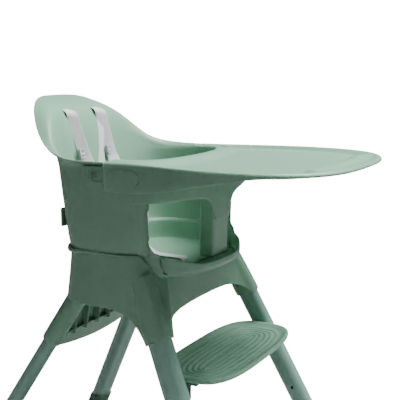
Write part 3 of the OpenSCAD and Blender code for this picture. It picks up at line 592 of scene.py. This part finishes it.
def makeRearApron():
    # curtain that hangs between the rear sockets, bowed in plan, with its lower edge nearly level
    u = np.linspace(-1, 1, 81)
    v = np.linspace(0, 1, 22)
    foot, d, _, _ = legFrame("rear")
    bottom = 304 + 13 * np.abs(u) ** 1.6
    z = mix(base["apronTop"], bottom[:, None], v[None, :])
    at = foot[:, None, None] + d[:, None, None] * (z / d[2])[None]
    middle = mix(128, 148, (base["apronTop"] - z) / 142)
    x = u[:, None] * (at[0] - 6)
    y = middle + (at[1] + 4 - middle) * np.abs(u[:, None]) ** 4
    p = np.stack([x, y, z], -1)
    piece = gridPiece("rearApron", wallGrid(toFrame(p[::-1]), 0.0035, openStart=True),
                      loopV=True, capStart=True, capEnd=True)
    outward(piece)
    return piece

finished(makeRearApron(), "chair", mouldedGreen, "base_shell", slot="shell")

def makeApronRibs():
    # upright fins and one cross rail on the curtain's inner face
    parts, faces, start = [], [], 0
    def block(x0, x1, y0, y1, z0, z1):
        return np.array([[x, y + (base["apronTop"] - z) * 0.14, z]
                         for z in (z0, z1) for y in (y0, y1) for x in (x0, x1)], float)
    quads = [(0, 2, 3, 1), (4, 5, 7, 6), (0, 1, 5, 4), (2, 6, 7, 3), (0, 4, 6, 2), (1, 3, 7, 5)]
    for x in (-110, -66, -22, 22, 66, 110):
        parts.append(block(x - 1.3, x + 1.3, 112, 129, 336, 440))
    for z in (342, 392):
        parts.append(block(-126, 126, 116, 129, z, z + 2.6))
    for c in parts:
        faces += [tuple(start + i for i in q) for q in quads]
        start += 8
    mesh = bpy.data.meshes.new("apronRibs")
    mesh.from_pydata(toFrame(np.concatenate(parts)).tolist(), [], faces)
    piece = bpy.data.objects.new("apronRibs", mesh)
    bpy.context.scene.collection.objects.link(piece)
    outward(piece)
    mesh.shade_flat()
    return piece

finished(makeApronRibs(), "chair", mouldedGreen, "base_shell", slot="shell")

def makeCollarLip():
    # small round-edged band that runs along the chassis's upper edge behind the openings
    half = collarRing(400)
    half = half[half[:, 1] > -60]
    other = half[::-1].copy(); other[:, 0] *= -1
    line = np.concatenate([half, other[1:]])
    tangent = np.gradient(line, axis=0); tangent /= np.linalg.norm(tangent, axis=1)[:, None]
    out = np.stack([tangent[:, 1], -tangent[:, 0], 0 * tangent[:, 0]], 1)
    out /= np.linalg.norm(out, axis=1)[:, None]
    a = np.linspace(0, 2 * math.pi, 20, endpoint=False)
    fade = smoothStep((line[:, 1] - 15) / 85)[:, None, None]
    # a small bead at the sides that grows into the band behind
    def section(angle, thin, full):
        small = thin[0] + thin[1] * signedPower(angle, 2)
        large = full[0] + full[1] * signedPower(angle, 2.6)
        return mix(small[None, :, None], large[None, :, None], fade)
    u = section(np.cos(a), (-0.4, 1.6), (3.2, 5.0))
    v = section(np.sin(a), (-1.6, 1.8), (-6, 6.0))
    p = line[:, None, :] + out[:, None, :] * u + np.array([0, 0, 1.0]) * v
    piece = gridPiece("collarLip", toFrame(p), loopV=True, capStart=True, capEnd=True)
    outward(piece)
    return piece

finished(makeCollarLip(), "chair", mouldedGreen, "base_shell", slot="shell")
print("chassis made")

# ---------- footplate
plate = {"half": 198.0, "deep": 87.0, "centreY": -193.0, "z": 322.0, "n": 3.3}

def makePlate():
    # rings of a superellipse drawn in by a distance; the profile is a raised rim, a slope and
    # shallow concentric grooves, closed underneath
    inset = np.concatenate([[24, 20, 10, 3, 0.8, 0, 0, 1, 3, 5.5, 8, 11, 14.5, 18, 22],
                            np.linspace(24, 84, 100)])
    across = np.linspace(0, 1, 100)
    grooves = -8.5 - 1.5 * across + 1.0 * np.clip(np.cos(across * 5 * 2 * math.pi) * 1.6, -1, 1)
    z = np.concatenate([[-14, -14.2, -13.6, -11.5, -9, -6, -3, -0.9, 0, -0.3, -1.6, -4, -6.4, -7.8, -8.3],
                        grooves])
    a = np.linspace(0, 2 * math.pi, 240, endpoint=False)
    w, d = plate["half"] - inset, plate["deep"] - np.minimum(inset, 86)
    x = w[None, :] * signedPower(np.cos(a), plate["n"])[:, None]
    y = plate["centreY"] + d[None, :] * signedPower(np.sin(a), plate["n"])[:, None]
    p = np.stack([x, y, plate["z"] + z[None, :] + 0 * x], -1)
    piece = gridPiece("footPlate", toFrame(p), loopU=True, capStart=True, capEnd=True)
    outward(piece)
    return piece

finished(makePlate(), "chair", grippyLitGreen, "footplate", slot="shell")
print("footplate made")

# ---------- harness webbing
strap = {"width": 24.0, "thick": 1.6}

def makeStrap(name, points, face, turned=None, turnOver=0.12):
    # flat ribbon with a round-edged section, carried along a smooth curve; its broad side starts
    # along face and has turned to the other direction after a share of the run
    w = np.linspace(0, len(points) - 1, 60)
    line = relaxed(resampled(throughPoints(points, w), 120), 6)
    tangent = np.gradient(line, axis=0); tangent /= np.linalg.norm(tangent, axis=1)[:, None]
    k = smoothStep(np.linspace(0, 1, 120) / turnOver)[:, None]
    broad = mix(np.asarray(face, float)[None, :], np.asarray(turned or face, float)[None, :], k)
    across = broad - tangent * np.sum(tangent * broad, 1)[:, None]
    across /= np.linalg.norm(across, axis=1)[:, None]
    thin = np.cross(tangent, across)
    a = np.linspace(0, 2 * math.pi, 24, endpoint=False)
    u = strap["width"] / 2 * signedPower(np.cos(a), 9)
    v = strap["thick"] / 2 * signedPower(np.sin(a), 4)
    p = line[:, None, :] + across[:, None, :] * u[None, :, None] + thin[:, None, :] * v[None, :, None]
    p = np.moveaxis(p, 0, 1)
    piece = gridPiece(name, toFrame(p), loopU=True, capStart=True, capEnd=True)
    outward(piece)
    return piece

for side, tag in ((1, "Left"), (-1, "Right")):
    run = [(54, 181, 818), (54, 166, 812), (53, 152, 775), (50, 132, 716), (42, 98, 674),
           (27, 55, 636), (17, 29, 613)]
    piece = makeStrap("shoulderStrap" + tag, [(side * x, y, z) for x, y, z in run], (1, 0, 0), (0.6, -0.8, 0))
    finished(piece, "chair", webbing, "shoulder_strap_" + tag.lower(), slot="webbing")
    run = [(54, 183, 813), (52, 172, 806), (42, 160, 770), (30, 152, 730), (22, 143, 694), (20, 133, 660)]
    piece = makeStrap("strapTail" + tag, [(side * x, y, z) for x, y, z in run], (1, 0, 0), (0.75, -0.65, 0))
    finished(piece, "chair", webbing, "shoulder_strap_" + tag.lower(), slot="webbing")
    run = [(92, 150, 590), (92, 118, 590), (74, 60, 590), (46, 44, 590), (31, 30, 590)]
    piece = makeStrap("waistStrap" + tag, [(side * x, y, z) for x, y, z in run], (0, 0, 1))
    finished(piece, "chair", webbing, "waist_straps", slot="webbing")
run = [(0, -88, 488), (0, -86, 503), (0, -76, 507), (0, -22, 507), (0, 12, 522), (0, 27, 564)]
piece = makeStrap("crotchStrap", run, (1, 0, 0))
finished(piece, "chair", webbing, "crotch_strap", slot="webbing")

def makeCrotchSlotShade():
    # painted shade: a dark rounded flat patch laid on the pan beside and under the strap, standing for the shade in
    # the strap's slot and the strap's shadow on the pan
    a = np.linspace(0, 2 * math.pi, 64, endpoint=False)
    k = np.array([0.02, 0.5, 0.9, 1.0, 1.0])
    x = (16 * signedPower(np.cos(a), 4))[:, None] * k[None, :]
    y = -58 + (36 * signedPower(np.sin(a), 4))[:, None] * k[None, :]
    z = np.array([500.6, 500.6, 500.6, 500.5, 499.0])[None, :] + 0 * x
    piece = gridPiece("crotchSlotShade", toFrame(np.stack([x, y, z], -1)), loopU=True, capStart=True, capEnd=True)
    outward(piece)
    return piece

finished(makeCrotchSlotShade(), "chair", slotShade, slot="shell")
print("harness made")

# ---------- CAD pieces keep their shape and get their finish
finishOf = {
    "leg_": legPaint, "foot_caps": footRubber, "armrest_": mouldedGreen, "latch_": mouldedGreen,
    "lock_": darkGreen, "under_frame": mouldedGreen, "footplate_bracket": mouldedGreen,
    "footplate_pin": zincSteel, "seat_screws": zincSteel, "tray_screws": zincSteel,
    "strap_adjusters": buckleGrey, "strap_keepers": darkGreen, "buckle_body": buckleGrey,
    "buckle_button": releaseRed, "buckle_tongues": buckleGrey,
}
for name, obj in nodes.items():
    for start, material in finishOf.items():
        if name.startswith(start):
            for s in obj.material_slots:
                s.material = material

# ---------- stage, light and camera
def makeStage():
    # flat floor that rises behind the object in a quarter circle
    s = np.concatenate([np.linspace(-4, 3, 12), 3 + 2 * np.sin(np.linspace(0, math.pi / 2, 14)[1:]), [5.0]])
    h = np.concatenate([np.zeros(12), 2 - 2 * np.cos(np.linspace(0, math.pi / 2, 14)[1:]), [8.0]])
    across = np.linspace(-9, 9, 8)
    view = np.array([0.885, 0.4655])
    side = np.array([-view[1], view[0]])
    p = np.zeros((len(across), len(s), 3))
    p[..., :2] = s[None, :, None] * view + across[:, None, None] * side
    p[..., 2] = h[None, :]
    piece = gridPiece("studioFloor", p, flip=False)
    # a lit white sweep: it glows for the eye and gives back only a little light to the object
    m = solidMaterial("paleFloor", (0.45, 0.45, 0.45, 1), 0.9, 60, 0.02, tint=0.01, specular=0.1)
    t = m.node_tree
    glow = t.nodes.new("ShaderNodeEmission")
    glow.inputs["Strength"].default_value = 18
    seen = t.nodes.new("ShaderNodeLightPath")
    share = t.nodes.new("ShaderNodeMath"); share.operation = "MULTIPLY"; share.inputs[1].default_value = 0.9
    both = t.nodes.new("ShaderNodeMixShader")
    link(t, seen.outputs["Is Camera Ray"], share.inputs[0]); link(t, share.outputs[0], both.inputs[0])
    link(t, t.nodes["Principled BSDF"].outputs[0], both.inputs[1]); link(t, glow.outputs[0], both.inputs[2])
    link(t, both.outputs[0], t.nodes["Material Output"].inputs[0])
    piece.data.materials.append(m)

makeStage()

def areaLight(name, at, target, size, power, color=(1, 1, 1)):
    data = bpy.data.lights.new(name, "AREA")
    data.energy, data.size, data.color = power, size, color
    obj = bpy.data.objects.new(name, data)
    bpy.context.scene.collection.objects.link(obj)
    d = Vector(target) - Vector(at)
    obj.matrix_world = Matrix.Translation(at) @ d.to_track_quat("-Z", "Y").to_matrix().to_4x4()

areaLight("topLight", (0.35, -0.9, 3.0), (0, 0, 0.5), 1.7, 190)
areaLight("frontHigh", (1.1, -2.6, 3.1), (0, -0.1, 0.3), 0.9, 62)
areaLight("leftFill", (-2.6, 0.6, 1.2), (0, 0, 0.6), 1.4, 3)
world = bpy.data.worlds.new("studioWorld")
bpy.context.scene.world = world
world.use_nodes = True
world.node_tree.nodes["Background"].inputs["Color"].default_value = (1, 1, 1, 1)
world.node_tree.nodes["Background"].inputs["Strength"].default_value = 0.06

def makeCamera():
    data = bpy.data.cameras.new("camera")
    data.sensor_width, data.lens = 36.0, 76.23
    data.shift_x, data.shift_y = 0.0, 0.0457
    obj = bpy.data.objects.new("camera", data)
    bpy.context.scene.collection.objects.link(obj)
    at = Vector((-1.55664, -0.94087 + seatCentreY, 0.92246))
    turn = Matrix.Rotation(math.radians(-62.26), 4, "Z") @ Matrix.Rotation(math.radians(90 - 10.55), 4, "X")
    obj.matrix_world = Matrix.Translation(at) @ turn
    bpy.context.scene.camera = obj

makeCamera()
print("stage made")
